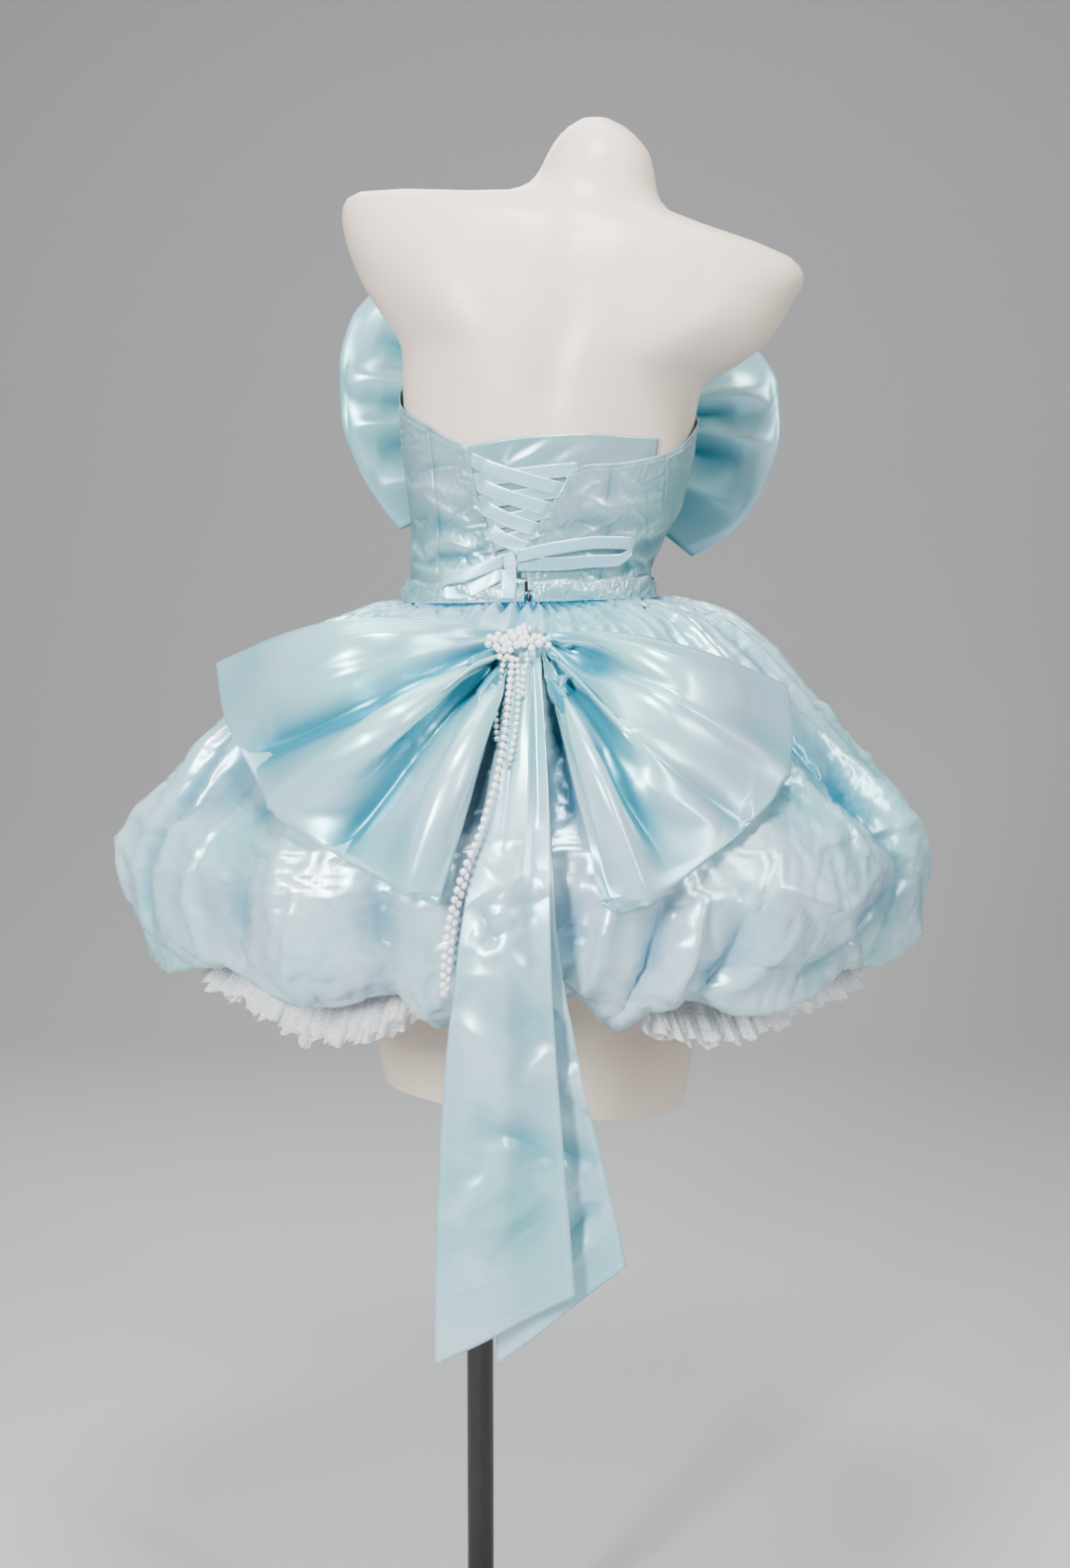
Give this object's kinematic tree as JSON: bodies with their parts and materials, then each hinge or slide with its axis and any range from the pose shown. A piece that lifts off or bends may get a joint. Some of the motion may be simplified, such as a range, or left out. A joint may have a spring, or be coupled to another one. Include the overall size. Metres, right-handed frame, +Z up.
{
  "type": "homecoming dress on dress form",
  "caption": "Strapless bubble-hem satin mini dress with a laced back, a back bow with long tails and a large front bow, on a limbless dress form with a round stand.",
  "frame": {"origin": "middle of the round base's underside, on the pole's axis", "axes": "+Z up the pole; +X to the wearer's left; +Y to the wearer's back, where the dress laces"},
  "size_m": [0.7091, 0.6465, 1.469],
  "materials": {
    "satin": "glossy pale ice-blue satin organza",
    "ribbon": "pale blue satin ribbon",
    "net": "stiff white net",
    "form_shell": "smooth warm white",
    "stand_metal": "black powder coat",
    "pearl": "pearlescent",
    "zip": "dark enamel"
  },
  "bodies": {
    "root": {"dress_form": "form_shell", "stand_base": "stand_metal", "stand_pole": "stand_metal", "bodice_back_left": "satin", "bodice_side_left": "satin", "bodice_front_centre": "satin", "bodice_side_right": "satin", "bodice_back_right": "satin", "modesty_panel": "satin", "waistband": "satin", "skirt_back_left": "satin", "skirt_front": "satin", "skirt_back_right": "satin", "petticoat": "net", "back_bow_loop_left": "satin", "back_bow_loop_right": "satin", "back_bow_knot": "satin", "back_bow_tail_front": "satin", "back_bow_tail_rear": "satin", "front_bow_loop_left": "satin", "front_bow_loop_right": "satin", "front_bow_knot": "satin", "lace_1_under": "ribbon", "lace_1_over": "ribbon", "lace_2_under": "ribbon", "lace_2_over": "ribbon", "lace_3_under": "ribbon", "lace_3_over": "ribbon", "lace_4_under": "ribbon", "lace_4_over": "ribbon", "lace_bow_knot": "ribbon", "lace_bow_loop_left": "ribbon", "lace_bow_loop_right": "ribbon", "lace_end_left": "ribbon", "lace_end_right": "ribbon", "pearl_brooch": "pearl", "pearl_strand": "pearl", "back_zip": "zip", "zip_slider": "zip"}
  },
  "joints": []
}
